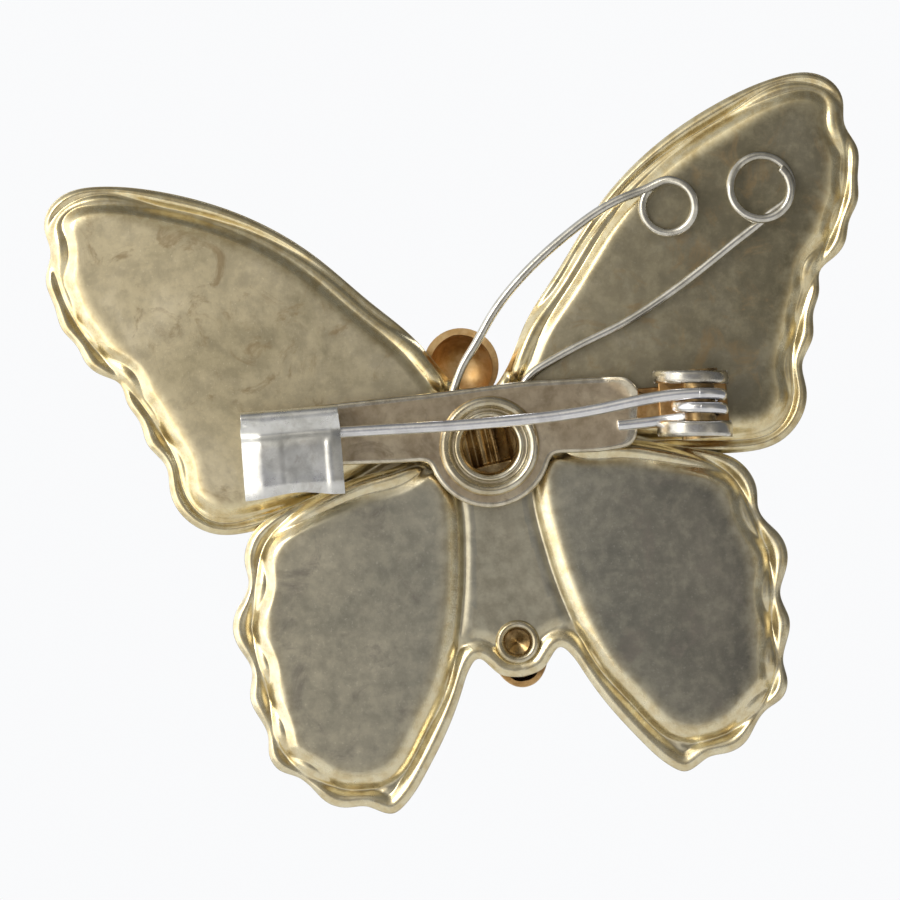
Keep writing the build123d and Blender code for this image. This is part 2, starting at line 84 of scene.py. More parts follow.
# %% Natural spline
def lath(pins):
    """Returns the curve as a function of distance along the chords, and the pins' distances."""
    p = np.asarray(pins, float)
    t = np.concatenate([[0], np.cumsum(np.linalg.norm(np.diff(p, axis=0), axis=1))])
    h, n = np.diff(t), len(p)
    a, rhs, i = np.eye(n), np.zeros_like(p), np.arange(1, n - 1)
    a[i, i - 1], a[i, i], a[i, i + 1] = h[:-1], 2 * (h[:-1] + h[1:]), h[1:]
    slope = np.diff(p, axis=0) / h[:, None]
    rhs[1:-1] = 6 * (slope[1:] - slope[:-1])
    m = np.linalg.solve(a, rhs)

    def at(s):
        k = np.clip(np.searchsorted(t, s, side="right") - 1, 0, n - 2)
        w = h[k][:, None]
        x, y = (t[k + 1] - s)[:, None], (s - t[k])[:, None]
        cubic = (m[k] * x**3 + m[k + 1] * y**3) / (6 * w)
        return cubic + (p[k] / w - m[k] * w / 6) * x + (p[k + 1] / w - m[k + 1] * w / 6) * y

    return at, t


def even(line, count):
    """The same line as count points at even distances."""
    arc = np.concatenate([[0], np.cumsum(np.linalg.norm(np.diff(line, axis=0), axis=1))])
    s = np.linspace(0, arc[-1], count)
    return np.stack([np.interp(s, arc, line[:, k]) for k in range(line.shape[1])], axis=1)


def open_line(pins, count):
    at, t = lath(pins)
    return even(at(np.linspace(0, t[-1], 60 * len(pins))), count)


def closed_line(pins, count):
    """A loop: the pins are repeated past both ends, and only the middle round is kept."""
    p = np.asarray(pins, float)
    at, t = lath(np.vstack([p[-4:], p, p[:5]]))
    return even(at(np.linspace(t[4], t[4 + len(p)], 60 * len(p))), count + 1)[:-1]


# %% [markdown]
# ## From a grid of points to a mesh
#
# A skin is rows of points, each row as long as the last. Two rows side by side
# make a strip of four-cornered faces. Where a row shrinks to a point, or ends
# meet, the doubled corners are merged. The signed volume tells whether the
# faces point outwards, so no shape is left inside out.


# %% Skins and meshes
def strips(rows, columns, round_rows=False, round_columns=False):
    """The faces of a grid: corner (i, j), (i+1, j), (i+1, j+1), (i, j+1)."""
    i = np.arange(rows if round_rows else rows - 1)[:, None]
    j = np.arange(columns if round_columns else columns - 1)[None, :]
    k, m = (i + 1) % rows, (j + 1) % columns
    corners = [i * columns + j, k * columns + j, k * columns + m, i * columns + m]
    return np.stack(np.broadcast_arrays(*corners), axis=-1).reshape(-1, 4)


def signed_volume(points, faces):
    a, b, c, d = (points[faces[:, k]] for k in range(4))
    cone = np.einsum("ij,ij->i", a, np.cross(b, c)) + np.einsum("ij,ij->i", a, np.cross(c, d))
    return cone.sum() / 6


def finish_mesh(name, points, faces, material, body, nodes=(), wear=None, merge=2e-6):
    """Puts the arrays into a mesh object, merges doubles, hangs it on its body and hides the model parts
    it stands for.
    """
    if signed_volume(points, faces) < 0:
        faces = faces[:, ::-1]
    mesh = bpy.data.meshes.new(name)
    mesh.from_pydata(points.tolist(), [], faces.tolist())
    if wear is not None:
        mesh.attributes.new("wear", "FLOAT", "POINT").data.foreach_set("value", wear.ravel())
    grid = bmesh.new()
    grid.from_mesh(mesh)
    bmesh.ops.remove_doubles(grid, verts=grid.verts, dist=merge)
    grid.to_mesh(mesh)
    grid.free()
    mesh.polygons.foreach_set("use_smooth", np.ones(len(mesh.polygons), bool))
    piece = bpy.data.objects.new(name, mesh)
    bpy.context.scene.collection.objects.link(piece)
    mesh.materials.append(material)
    if body:
        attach(piece, body)
    if nodes:
        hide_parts(*nodes)
    print(f"{name}: {len(mesh.vertices)} points, {len(mesh.polygons)} faces")
    return piece


# %% [markdown]
# ## Camera, light and floor
#
# Bright metal shows its surroundings, so the studio comes before the finishes.
# A jeweller's tent is white all round except where the camera looks in: flat
# metal that faces the camera goes grey, and every tilted edge turns bright.

# %% Camera over the back of the brooch
roll = math.radians(8.2)
camera_distance = 0.6
frame_width = 0.0573
right = (-math.cos(roll), 0.0, -math.sin(roll))
upward = (-math.sin(roll), 0.0, math.cos(roll))
lens_data = bpy.data.cameras.new("camera")
lens_data.sensor_width = 36
lens_data.lens = lens_data.sensor_width * camera_distance / frame_width
lens_data.clip_start, lens_data.clip_end = 0.01, 10
camera = bpy.data.objects.new("camera", lens_data)
bpy.context.scene.collection.objects.link(camera)
turned = Matrix((right, upward, (0, 1, 0))).transposed().to_4x4()
turned.translation = (0.00252, camera_distance, 0.000106)
camera.matrix_world = turned
bpy.context.scene.camera = camera
bpy.context.scene.view_settings.view_transform = "Standard"


# %% Small helpers for node trees
def tree(owner):
    owner.use_nodes = True
    owner.node_tree.nodes.clear()
    return owner.node_tree


def node(nodes, kind, **settings):
    """Adds a node. A setting named for a socket sets the socket, others set the node."""
    made = nodes.nodes.new(kind)
    for key, value in settings.items():
        if hasattr(made, key):
            setattr(made, key, value)
        else:
            made.inputs[key.replace("_", " ")].default_value = value
    return made


def ramp(nodes, source, stops, smooth=True):
    """A colour ramp: stops are (place, colour)."""
    made = nodes.nodes.new("ShaderNodeValToRGB")
    made.color_ramp.interpolation = "EASE" if smooth else "LINEAR"
    elements = made.color_ramp.elements
    while len(elements) < len(stops):
        elements.new(0.5)
    for element, (spot, colour) in zip(elements, stops):
        element.position = spot
        element.color = (*colour, 1) if len(colour) == 3 else colour
    nodes.links.new(source, made.inputs["Fac"])
    return made.outputs["Color"]


def grey(value):
    return (value, value, value)


# %% A tent that is dark only where the camera looks in
world = bpy.data.worlds.new("tent")
bpy.context.scene.world = world
w = tree(world)
way = node(w, "ShaderNodeTexCoord")
split = node(w, "ShaderNodeSeparateXYZ")
w.links.new(way.outputs["Generated"], split.inputs[0])
lit = ramp(w, split.outputs["Y"], [
    (0.0, (0.60, 0.60, 0.60)), (0.40, (0.80, 0.78, 0.73)), (0.68, (1.05, 1.00, 0.90)),
    (0.84, (0.72, 0.68, 0.60)), (0.94, (0.34, 0.33, 0.32)), (1.0, (0.22, 0.22, 0.23)),
])
low_left = node(w, "ShaderNodeVectorMath", operation="DOT_PRODUCT")
w.links.new(way.outputs["Generated"], low_left.inputs[0])
low_left.inputs[1].default_value = (0.80, 0.0, -0.60)
side = node(w, "ShaderNodeMapRange", From_Min=-0.8, From_Max=0.8, To_Min=0.22, To_Max=2.05)
side.interpolation_type = "SMOOTHSTEP"
w.links.new(low_left.outputs["Value"], side.inputs["Value"])
leftward = node(w, "ShaderNodeMix", data_type="RGBA", blend_type="MULTIPLY")
leftward.inputs["Factor"].default_value = 1
w.links.new(lit, leftward.inputs["A"])
w.links.new(side.outputs["Result"], leftward.inputs["B"])
tent = node(w, "ShaderNodeBackground")
w.links.new(leftward.outputs["Result"], tent.inputs["Color"])
paper = node(w, "ShaderNodeBackground", Color=(0.955, 0.96, 0.97, 1), Strength=1.0)
seen = node(w, "ShaderNodeLightPath")
either = node(w, "ShaderNodeMixShader")
w.links.new(seen.outputs["Is Camera Ray"], either.inputs["Fac"])
w.links.new(tent.outputs["Background"], either.inputs[1])
w.links.new(paper.outputs["Background"], either.inputs[2])
w.links.new(either.outputs["Shader"], node(w, "ShaderNodeOutputWorld").inputs["Surface"])


# %% Soft lamps: a near one at the upper left, a low one, and one for the front
def softbox(name, spot, aim, size, power, colour):
    lamp = bpy.data.lights.new(name, "AREA")
    lamp.shape, lamp.size, lamp.energy, lamp.color = "DISK", size, power, colour
    holder = bpy.data.objects.new(name, lamp)
    bpy.context.scene.collection.objects.link(holder)
    back = np.array(spot) - np.array(aim)
    back = back / np.linalg.norm(back)
    across = np.cross((0, 0, 1), back)
    across = across / np.linalg.norm(across)
    turn = Matrix((across, np.cross(back, across), back)).transposed().to_4x4()
    turn.translation = spot
    holder.matrix_world = turn


softbox("lamp_upper_left", (0.11, 0.13, 0.09), (0.012, 0, 0.006), 0.09, 0.10, (1, 0.96, 0.88))
softbox("lamp_low_left", (0.13, 0.12, -0.14), (0, 0, -0.01), 0.12, 0.16, (0.96, 0.98, 1))
softbox("lamp_front", (-0.10, -0.30, 0.22), (0, 0, 0), 0.25, 0.5, (1, 1, 1))

# %% A round pale table under the brooch
floor_radius, floor_level = 0.12, -0.045
floor_mesh = bpy.data.meshes.new("floor")
round_edge = np.linspace(0, 2 * np.pi, 97)[:-1]
rim = np.stack([np.cos(round_edge), np.sin(round_edge), 0 * round_edge], axis=1) * floor_radius
rim[:, 2] = floor_level
floor_mesh.from_pydata(rim.tolist(), [], [list(range(len(rim)))])
floor = bpy.data.objects.new("floor", floor_mesh)
bpy.context.scene.collection.objects.link(floor)
card = bpy.data.materials.new("pale_card")
f = tree(card)
card_shader = node(f, "ShaderNodeBsdfPrincipled", Roughness=0.8)
card_grain = node(f, "ShaderNodeTexNoise", Scale=900.0, Detail=4.0)
f.links.new(node(f, "ShaderNodeTexCoord").outputs["Object"], card_grain.inputs["Vector"])
f.links.new(
    ramp(f, card_grain.outputs["Fac"], [(0.3, grey(0.84)), (0.7, grey(0.88))]),
    card_shader.inputs["Base Color"],
)
f.links.new(card_shader.outputs[0], node(f, "ShaderNodeOutputMaterial").inputs["Surface"])
floor_mesh.materials.append(card)

# %% [markdown]
# ## Finishes
#
# The brass was gilded once. Where it is rubbed it is still yellow and bright;
# in the hollows it has dulled to a speckled grey brown. One recipe makes all of
# the metals: a slow drift of tone, mottling under a millimetre, fine specks,
# and a wear value from 0 in the hollows to 1 on the rubbed edges.


# %% Recipe for worn plated metal
def metal(name, dull, bright, rough_dull=0.42, rough_bright=0.2, worn=False, drift=160.0,
          mottle=1100.0, speck=5200.0, blotch=None, scratches=0.0, pits=0.25, sides=None):
    """dull is (dark, middle, pale) for hollows and bright is (dark, pale) for rubbed metal.

    sides is painted light and shade: it multiplies the metal by a gradient from the hinge side, through
    the middle, to the catch side.
    """
    made = bpy.data.materials.new(name)
    n = tree(made)
    link = n.links.new
    at = node(n, "ShaderNodeTexCoord").outputs["Object"]

    def noise(scale, detail, roughness=0.55, distortion=0.0):
        field = node(n, "ShaderNodeTexNoise", Scale=scale, Detail=detail, Roughness=roughness,
                     Distortion=distortion)
        link(at, field.inputs["Vector"])
        return field.outputs["Fac"]

    def mix(kind, factor, a, b):
        blend = node(n, "ShaderNodeMix", data_type="RGBA", blend_type=kind)
        for socket, value in (("Factor", factor), ("A", a), ("B", b)):
            if isinstance(value, bpy.types.NodeSocket):
                link(value, blend.inputs[socket])
            elif socket == "Factor":
                blend.inputs[socket].default_value = value
            else:
                blend.inputs[socket].default_value = (*value, 1)
        return blend.outputs["Result"]

    drifting = noise(drift, 5.0, 0.6, 0.6)
    mottled = noise(mottle, 6.0, 0.65)
    specks = noise(speck, 3.0, 0.6)
    tone = ramp(n, drifting, [(0.30, dull[0]), (0.5, dull[1]), (0.70, dull[2])])
    tone = mix("MULTIPLY", 0.6, tone, ramp(n, mottled, [(0.32, grey(0.82)), (0.62, grey(1.08))]))
    light_specks = ramp(n, specks, [(0.60, grey(0.0)), (0.72, grey(0.30))])
    tone = mix("SCREEN", light_specks, tone, dull[2])
    # Painted light and shade: a gradient across X lightens one side of the piece and darkens the other,
    # as a lamp at one side would.
    if sides:
        place_x = node(n, "ShaderNodeSeparateXYZ")
        link(at, place_x.inputs[0])
        across = node(n, "ShaderNodeMapRange", From_Min=-0.02, From_Max=0.02, To_Min=0.0, To_Max=1.0)
        link(place_x.outputs["X"], across.inputs["Value"])
        painted_side_light = ramp(n, across.outputs[0], [(0.0, sides[0]), (0.5, sides[1]), (1.0, sides[2])])
        tone = mix("MULTIPLY", 1.0, tone, painted_side_light)
    if blotch:
        patches = noise(blotch[0], 7.0, 0.7, 1.2)
        spread = ramp(n, patches, [(0.52, grey(0.0)), (0.68, grey(0.75))])
        tone = mix("MIX", spread, tone, blotch[1])
    shine = ramp(n, mottled, [(0.3, bright[0]), (0.65, bright[1])])
    if worn:
        wear = node(n, "ShaderNodeAttribute", attribute_name="wear").outputs["Fac"]
        rubbed = node(n, "ShaderNodeMath", operation="MULTIPLY_ADD")
        link(mottled, rubbed.inputs[0])
        rubbed.inputs[1].default_value = 0.5
        rubbed.inputs[2].default_value = -0.25
        edge = node(n, "ShaderNodeMath", operation="ADD", use_clamp=True)
        link(wear, edge.inputs[0])
        link(rubbed.outputs[0], edge.inputs[1])
        how_worn = edge.outputs[0]
    else:
        how_worn = ramp(n, drifting, [(0.40, grey(0.25)), (0.60, grey(0.85))])
    colour = mix("MIX", how_worn, tone, shine)
    shader = node(n, "ShaderNodeBsdfPrincipled", Metallic=1.0)
    link(colour, shader.inputs["Base Color"])
    rough = node(n, "ShaderNodeMapRange", To_Min=rough_dull, To_Max=rough_bright)
    link(how_worn, rough.inputs["Value"])
    uneven = node(n, "ShaderNodeMapRange", To_Min=-0.07, To_Max=0.09)
    link(mottled, uneven.inputs["Value"])
    total = node(n, "ShaderNodeMath", operation="ADD", use_clamp=True)
    link(rough.outputs[0], total.inputs[0])
    link(uneven.outputs[0], total.inputs[1])
    link(total.outputs[0], shader.inputs["Roughness"])
    height = mix("MIX", 0.35, mottled, specks)
    if scratches:
        stretch = node(n, "ShaderNodeMapping", Rotation=(0, 0.5, 0), Scale=(1, 1, 14))
        link(at, stretch.inputs["Vector"])
        hair = node(n, "ShaderNodeTexNoise", Scale=700.0, Detail=5.0, Roughness=0.8)
        link(stretch.outputs[0], hair.inputs["Vector"])
        height = mix("MIX", scratches, height, hair.outputs["Fac"])
    bump = node(n, "ShaderNodeBump", Strength=pits, Distance=0.00006)
    link(height, bump.inputs["Height"])
    link(bump.outputs[0], shader.inputs["Normal"])
    link(shader.outputs[0], node(n, "ShaderNodeOutputMaterial").inputs["Surface"])
    return made


# %% The finishes of this brooch
gilt_forewing = metal(
    "gilt_forewing", [(0.46, 0.41, 0.29), (0.58, 0.52, 0.38), (0.70, 0.64, 0.50)],
    [(0.80, 0.64, 0.34), (0.96, 0.86, 0.58)], worn=True, rough_dull=0.42, rough_bright=0.24,
    blotch=(330.0, (0.40, 0.30, 0.17)), scratches=0.2,
    # Painted light and shade: the hinge side is darkened to about half and the catch side lightened, as a
    # lamp at the catch side would make it.
    sides=((0.46, 0.46, 0.43), (0.88, 0.87, 0.84), (1.24, 1.21, 1.12)),
)
gilt_hindwing = metal(
    "gilt_hindwing", [(0.40, 0.39, 0.34), (0.50, 0.48, 0.41), (0.62, 0.59, 0.50)],
    [(0.82, 0.68, 0.40), (0.96, 0.88, 0.64)], worn=True, rough_dull=0.38, rough_bright=0.24,
    blotch=(240.0, (0.32, 0.29, 0.25)), scratches=0.35,
    # Painted light and shade: the hinge side is darkened and the catch side lightened, as a lamp at the
    # catch side would make it.
    sides=((0.46, 0.45, 0.44), (0.86, 0.86, 0.84), (1.22, 1.17, 1.05)),
)
gilt_bar = metal(
    "gilt_bar", [(0.30, 0.23, 0.15), (0.48, 0.40, 0.29), (0.66, 0.59, 0.46)],
    [(0.56, 0.50, 0.38), (0.84, 0.78, 0.64)], worn=True, rough_dull=0.36, rough_bright=0.2,
    drift=260.0, blotch=(420.0, (0.34, 0.24, 0.14)),
    # Painted light and shade with a painted reflection: the hinge end is lightened, and the catch end is
    # darkened to a brown that stands for the wings reflected in it.
    sides=((1.45, 1.36, 1.32), (1.22, 1.16, 1.05), (0.76, 0.60, 0.42)),
)
gilt_eyelet = metal(
    "gilt_eyelet", [(0.40, 0.32, 0.18), (0.58, 0.49, 0.31), (0.74, 0.68, 0.50)],
    [(0.66, 0.58, 0.40), (0.86, 0.82, 0.70)], rough_dull=0.3, rough_bright=0.16, drift=300.0,
)
# Painted shade: a nearly black copy of the brass for what lies deep in the tubes and inside the coil,
# where shade falls.
painted_shade_brass = metal(
    "painted_shade_brass", [(0.09, 0.045, 0.02), (0.20, 0.12, 0.05), (0.40, 0.27, 0.12)],
    [(0.24, 0.15, 0.06), (0.62, 0.46, 0.24)], rough_dull=0.34, rough_bright=0.2, drift=420.0,
)
silver = metal(
    "silver", [(0.58, 0.58, 0.56), (0.78, 0.79, 0.77), (0.90, 0.91, 0.90)],
    [(0.80, 0.81, 0.80), (0.96, 0.97, 0.98)], rough_dull=0.38, rough_bright=0.24, drift=380.0,
    blotch=(520.0, (0.48, 0.45, 0.41)), scratches=0.3,
)
wire_silver = metal(
    "wire_silver", [(0.46, 0.44, 0.38), (0.62, 0.60, 0.53), (0.76, 0.74, 0.68)],
    [(0.72, 0.70, 0.63), (0.90, 0.88, 0.82)], rough_dull=0.28, rough_bright=0.15, drift=420.0,
)
spring_steel = metal(
    "spring_steel", [(0.72, 0.72, 0.75), (0.86, 0.87, 0.91), (0.94, 0.95, 0.99)],
    [(0.90, 0.91, 0.95), (0.98, 0.98, 1.0)], rough_dull=0.26, rough_bright=0.14, drift=500.0,
)

head_gilt = metal(
    "head_gilt", [(0.34, 0.17, 0.06), (0.62, 0.37, 0.14), (0.82, 0.60, 0.34)],
    [(0.66, 0.40, 0.15), (0.90, 0.68, 0.38)], rough_dull=0.52, rough_bright=0.44, drift=260.0,
    blotch=(420.0, (0.20, 0.09, 0.035)),
)
# Painted shade: a dark orange-brown for the bar's tongue and the bracket's floor, which lie in the shade
# under the coil and between the ears.
painted_shade_floor = metal(
    "painted_shade_floor", [(0.16, 0.08, 0.03), (0.40, 0.21, 0.07), (0.64, 0.42, 0.18)],
    [(0.42, 0.22, 0.08), (0.72, 0.48, 0.22)], rough_dull=0.38, rough_bright=0.26, drift=420.0,
)
ear_plate = metal(
    "ear_plate", [(0.34, 0.31, 0.24), (0.56, 0.53, 0.46), (0.76, 0.74, 0.68)],
    [(0.68, 0.66, 0.60), (0.92, 0.90, 0.86)], rough_dull=0.3, rough_bright=0.2, drift=420.0,
    blotch=(700.0, (0.28, 0.22, 0.15)),
)

# %% [markdown]
# ## The wings
#
# Each pair of wings is one stamping. From the edge inwards there is a rounded
# lip, a groove, then a wall that rises to a flat pan, the back of an enamel
# cell. The height depends on two distances only: d, how far a point is from the
# edge of the sheet, and e, how far it is outside the cell, negative inside. A
# grid of rays from the middle of the cell follows both outlines.

# %% The sheet's section
bead_height, bead_width, bead_skirt = 0.15, 1.15, 0.22
pan_height, wall_foot, wall_power, groove_depth = 0.76, 1.2, 2.2, 0.13
wall_reach = {"forewing": 1.75, "hindwing": 1.3}
sheet_thick = 0.45


def ease(x):
    x = np.clip(x, 0, 1)
    return x * x * (3 - 2 * x)


def relief(d, e, reach):
    """A rolled bead at the edge, a crease at the wall's foot, and a wall that bends over into the pan."""
    along = np.clip(d / bead_width, 0, 1)
    bead = (bead_height + bead_skirt) * np.sin(np.pi * along**0.75) - bead_skirt
    bead = np.where(d > bead_width, -bead_skirt * (1 - ease((d - bead_width) / 0.7)), bead)
    crease = groove_depth * np.exp(-(((e - wall_foot - 0.1) / 0.22) ** 2))
    down = np.clip((e + reach - wall_foot) / reach, 0, 1)
    return bead - crease + pan_height * (1 - down**wall_power)


def nearest(points, line):
    """Distance from each point to the nearest point of a finely divided line."""
    parts = np.array_split(points, max(1, len(points) // 3000))
    gaps = [np.sqrt(((p[:, None] - line[None]) ** 2).sum(2).min(1)) for p in parts]
    return np.concatenate(gaps)


# %% One stamping from its two outlines
flat_end, shoulder_end, wall_end, rim_start = 1.8, 1.6, 1.7, 1.25
full_width = 3.0


def stamping(name, outline, cell, middle, back, holes, material):
    """Rays run from the middle of the cell, over its outline, to the edge or the centre line."""
    turn = wing_turn[name]
    edge_count, seam_count, finer = 300, 70, 4
    fine_edge = open_line(outline, (edge_count - 1) * finer + 1)
    edge = fine_edge[::finer]
    seam = np.zeros((seam_count, 2))
    seam[:, 1] = np.linspace(edge[-1, 1], edge[0, 1], seam_count + 2)[1:-1]
    ring = np.vstack([edge, seam])
    spoke = ring - middle
    far = np.linalg.norm(spoke, axis=1)
    spoke = spoke / far[:, None]
    cell_line = closed_line(cell, 2400)
    out = cell_line - middle
    order = np.argsort(np.arctan2(out[:, 1], out[:, 0]))
    turned_to = np.arctan2(out[:, 1], out[:, 0])[order]
    reach = np.linalg.norm(out, axis=1)[order]
    near = np.interp(np.arctan2(spoke[:, 1], spoke[:, 0]), turned_to, reach, period=2 * np.pi)
    width = far - near
    squeeze = np.minimum(1, width / full_width)
    pan = [t * (near - flat_end) for t in np.linspace(0, 1, 8)]
    shoulder = [near - a for a in np.linspace(shoulder_end, 0.1, 10)]
    wall = [near + a * squeeze for a in np.linspace(0, wall_end, 19)]
    web_in, web_out = near + wall_end * squeeze, far - rim_start * squeeze
    web = [web_in * (1 - t) + web_out * t for t in np.linspace(0, 1, 10)[1:-1]]
    lip = [far - a * squeeze for a in np.linspace(rim_start, 0, 15)]
    radius = np.array([*pan, *shoulder, *wall, *web, *lip])
    flat = middle + radius[:, :, None] * spoke[None]
    rows, columns = radius.shape
    points = flat.reshape(-1, 2)
    d = nearest(points, fine_edge).reshape(rows, columns)
    e = nearest(points, cell_line).reshape(rows, columns)
    e = np.where(radius < near[None], -e, e)
    d[-1, :edge_count] = 0
    level = back + relief(d, e, wall_reach[name])
    wear = 0.85 * np.exp(-(((d - 0.5) / 0.9) ** 2)) + 0.95 * np.exp(-(((e - 0.6) / 0.7) ** 2))
    wear = np.clip(wear + 0.25 * (e > 2.0), 0, 1)
    front = level - sheet_thick
    kept = np.ones((rows - 1, columns), bool)
    centre = (flat[:-1] + flat[1:]) / 2
    for spot, size in holes:
        kept &= np.linalg.norm(centre - np.array(spot), axis=2) > size
    skin = strips(rows, columns, round_columns=True)
    upper, count = skin[kept.ravel()], rows * columns
    under = upper[:, ::-1] + count
    last = (rows - 1) * columns
    j = np.arange(edge_count - 1) + last
    rim_strip = np.stack([j, j + 1, j + 1 + count, j + count], axis=1)
    index = np.arange(count).reshape(rows, columns)
    across = kept & ~np.roll(kept, -1, axis=1)
    back_across = ~kept & np.roll(kept, -1, axis=1)
    turned_index = np.roll(index, -1, axis=1)
    a, b = turned_index[:-1], turned_index[1:]
    outward = kept[:-1] & ~kept[1:]
    inward = ~kept[:-1] & kept[1:]
    c, g = index[1:-1], turned_index[1:-1]
    bare = [(b[across], a[across]), (a[back_across], b[back_across]),
            (c[outward], g[outward]), (g[inward], c[inward])]
    walls = [np.stack([p, q, q + count, p + count], axis=1) for p, q in bare]
    half = np.vstack([upper, under, rim_strip, *walls])
    u, v = flat[..., 0], flat[..., 1]
    both = np.vstack([
        place(side * u, v, height, turn).reshape(-1, 3) for side in (1, -1) for height in (level, front)
    ])
    faces = np.vstack([half, half[:, ::-1] + 2 * count])
    return finish_mesh(
        name + "_sheet", both, faces, material, "brooch", [name + "_plate"],
        wear=np.tile(wear.ravel(), 4),
    )


# %% Forewings
forewing_edge = [
    (0, 2.9), (1.7, 4.5), (3.4, 7.2), (6.0, 10.25), (9.0, 13.7), (13.0, 16.95), (18.0, 19.35),
    (22.0, 20.35), (24.3, 20.2), (25.55, 19.2), (25.85, 18.1), (25.7, 16.75), (26.28, 15.0),
    (26.0, 13.2), (25.75, 11.7), (25.0, 10.5), (24.6, 9.35), (23.7, 8.4), (22.65, 7.65),
    (22.4, 6.4), (21.8, 5.05), (21.55, 3.6), (20.6, 2.0), (20.6, 0.4), (19.9, -1.5),
    (18.2, -2.75), (15.6, -2.95), (11.5, -2.6), (7.5, -3.3), (4.0, -4.5), (0, -5.0),
]
forewing_cell = [
    (3.2, 4.3), (5.9, 7.7), (8.6, 10.7), (12.4, 14.2), (16.0, 16.2), (19.5, 17.65), (22.9, 18.6),
    (24.2, 18.0), (24.45, 16.0), (24.1, 13.6), (23.1, 11.2), (21.7, 9.0), (20.2, 6.3),
    (19.2, 4.0), (18.65, 2.0), (18.45, 0.2), (17.7, -0.8), (16.0, -0.95), (12.5, -0.4),
    (9.0, 0.6), (5.6, 2.0), (3.6, 3.3),
]
eyelet_hole = ((0, 0), 2.1)
stamping("forewing", forewing_edge, forewing_cell, np.array((14.0, 8.5)), -2.10,
         [eyelet_hole], gilt_forewing)

# %% Hindwings, and between them the tail lobe with its rivet hole
tail_drop = 12.64
hindwing_edge = [
    (0, 3.3), (2.3, 2.9), (3.9, 1.2), (5.8, -0.35), (8.1, -0.72), (10.6, -1.28), (13.3, -2.1),
    (15.5, -3.1), (16.3, -4.2), (16.52, -5.3), (16.45, -6.4), (16.85, -7.3), (17.5, -8.15),
    (17.88, -9.4), (17.55, -10.7), (17.05, -12.0), (17.4, -13.7), (17.05, -15.0),
    (16.62, -16.3), (16.72, -17.5), (16.2, -18.6), (15.2, -19.15), (14.4, -19.9),
    (13.5, -21.05), (12.2, -21.57), (11.1, -21.65), (10.3, -22.05), (9.4, -22.35),
    (8.7, -22.0), (6.9, -20.0), (5.0, -17.2), (3.9, -15.1), (3.2, -13.8), (2.65, -13.35),
    (2.1, -13.75), (1.45, -14.5), (0, -14.9),
]
hindwing_cell = [
    (3.9, -2.0), (5.0, -1.55), (6.8, -1.65), (9.9, -2.5), (13.0, -3.9), (14.2, -5.0),
    (14.7, -6.5), (15.2, -8.4), (15.45, -10.4), (15.2, -12.3), (15.0, -14.3), (14.75, -16.9),
    (13.8, -18.1), (12.4, -19.0), (10.8, -19.4), (9.5, -19.1), (7.8, -17.1), (6.1, -14.7),
    (5.0, -12.0), (4.15, -8.7), (3.7, -5.8), (3.55, -3.2),
]
rivet_hole = ((0, -tail_drop), 1.02)
stamping("hindwing", hindwing_edge, hindwing_cell, np.array((9.0, -5.0)), -1.65,
         [eyelet_hole, rivet_hole], gilt_hindwing)

# %% [markdown]
# ## Turned and rolled parts
#
# The eyelet and the tail's rivet are tubes whose end is rolled over on the
# metal, so each is one closed profile carried round an axis.


# %% A profile carried round an axis
def turned_part(name, profile, u0, v0, turn, material, nodes, count=128, fine=4):
    """Each profile point (r, level) becomes a circle of radius r about (u0, v0)."""
    closed = np.vstack([profile, profile[:1]])
    r, level = even(np.asarray(closed, float), len(closed) * fine).T
    angle = np.linspace(0, 2 * np.pi, count + 1)[:-1][:, None]
    points = place(u0 + r * np.cos(angle), v0 + r * np.sin(angle), level + 0 * angle, turn)
    faces = strips(count, len(r), round_rows=True)
    return finish_mesh(name, points.reshape(-1, 3), faces, material, "brooch", nodes)


def rounded(profile, count=90):
    """The profile's back drawn with a lath, for soft rolled metal."""
    return open_line(profile, count)


# %% Eyelet through the whole stack
eyelet_roll = rounded([
    (1.68, -0.90), (1.70, -0.40), (1.82, -0.08), (2.02, 0.12), (2.20, 0.08), (2.32, -0.03),
    (2.44, 0.10), (2.62, 0.34), (2.84, 0.46), (3.07, 0.34), (3.2, 0.03),
])
eyelet_profile = np.vstack([
    eyelet_roll, [(3.1, -0.02), (2.2, -0.1), (1.95, -0.3), (1.95, -3.2), (1.7, -3.2)],
])
turned_part("eyelet_roll", eyelet_profile, 0, 0, 0, gilt_eyelet, ["eyelet"], fine=1)

# %% Tail rivet
rivet_roll = rounded([
    (0.78, -2.1), (0.82, -1.8), (0.95, -1.48), (1.12, -1.36), (1.30, -1.43), (1.42, -1.72),
], 40)
rivet_profile = np.vstack([rivet_roll, [(1.15, -1.75), (1.15, -3.2), (0.95, -3.2)]])
turned_part("tail_rivet_roll", rivet_profile, 0, -tail_drop, 0, gilt_eyelet,
            ["tail_rivet"], count=80, fine=1)

# %% [markdown]
# ## What shows inside the two tubes
#
# A strap from the body is bent into the eyelet, so its folded leaves stand on
# end at the bottom of the bore, with a straight ledge below. The rivet's tube
# ends in a shallow pinched cone. Both are small disks with a height formula.


# %% Disk with a height formula
def dish(name, u0, v0, radius, height, turn, material, thick=0.12):
    """A closed lens: the height above, and the same height less a thickness below."""
    r = np.linspace(0, radius, 30)[:, None]
    angle = np.linspace(0, 2 * np.pi, 97)[:-1][None]
    u, v = r * np.cos(angle), r * np.sin(angle)
    top = height(u, v)
    rows = np.concatenate([np.stack([u, v, top], 2), np.stack([u, v, top - thick], 2)[::-1]])
    points = place(u0 + rows[..., 0], v0 + rows[..., 1], rows[..., 2], turn)
    faces = strips(len(rows), rows.shape[1], round_columns=True)
    return finish_mesh(name, points.reshape(-1, 3), faces, material, "brooch")


